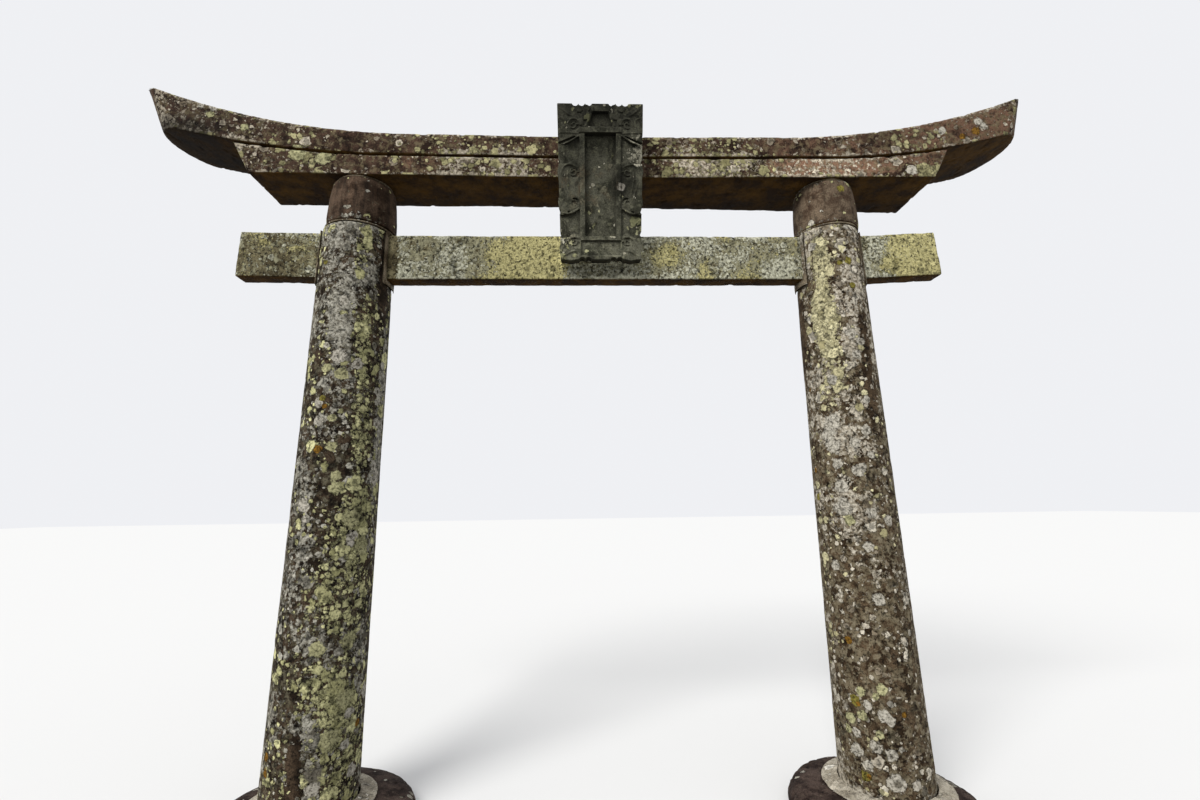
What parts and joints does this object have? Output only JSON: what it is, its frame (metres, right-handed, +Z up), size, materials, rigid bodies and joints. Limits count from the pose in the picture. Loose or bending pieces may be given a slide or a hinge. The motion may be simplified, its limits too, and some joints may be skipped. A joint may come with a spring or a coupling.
{
  "type": "stone torii gate",
  "caption": "Weathered stone torii gate with leaning round shafts, a tie beam, a two-course upswept lintel with rounded prow ends and a carved slate plaque.",
  "frame": {"origin": "middle of the underside of the gate's bounding box: on the ground, midway between the tips of the lintel", "axes": "+X along the gate, to the right when facing the plaque, +Y through the gate away from the plaque, +Z up"},
  "size_m": [5.8338, 1.1, 4.2868],
  "materials": {
    "base_stone": "rough",
    "shaft_stone": "rough",
    "drum_stone": "rough",
    "beam_stone": "rough",
    "lintel_stone": "rough",
    "slate": "rough",
    "mortar": "rough",
    "bed_mortar": "rough",
    "iron": "rusted"
  },
  "bodies": {
    "root": {"left_base_stone": "base_stone", "right_base_stone": "base_stone", "left_foot_mortar": "mortar", "right_foot_mortar": "mortar", "left_shaft": "shaft_stone", "right_shaft": "shaft_stone", "left_slot_mortar": "mortar", "right_slot_mortar": "mortar", "left_drum_bed": "bed_mortar", "right_drum_bed": "bed_mortar", "left_drum": "drum_stone", "right_drum": "drum_stone", "left_lintel_bed": "bed_mortar", "right_lintel_bed": "bed_mortar", "tie_beam": "beam_stone", "left_tie_end": "beam_stone", "right_tie_end": "beam_stone", "left_lower_lintel": "lintel_stone", "right_lower_lintel": "lintel_stone", "left_upper_lintel": "lintel_stone", "right_upper_lintel": "lintel_stone", "lintel_joint_mortar": "mortar", "centre_strut": "beam_stone", "plaque": "slate", "left_plaque_pin": "iron", "right_plaque_pin": "iron", "left_plaque_cramp": "iron", "right_plaque_cramp": "iron"}
  },
  "joints": []
}
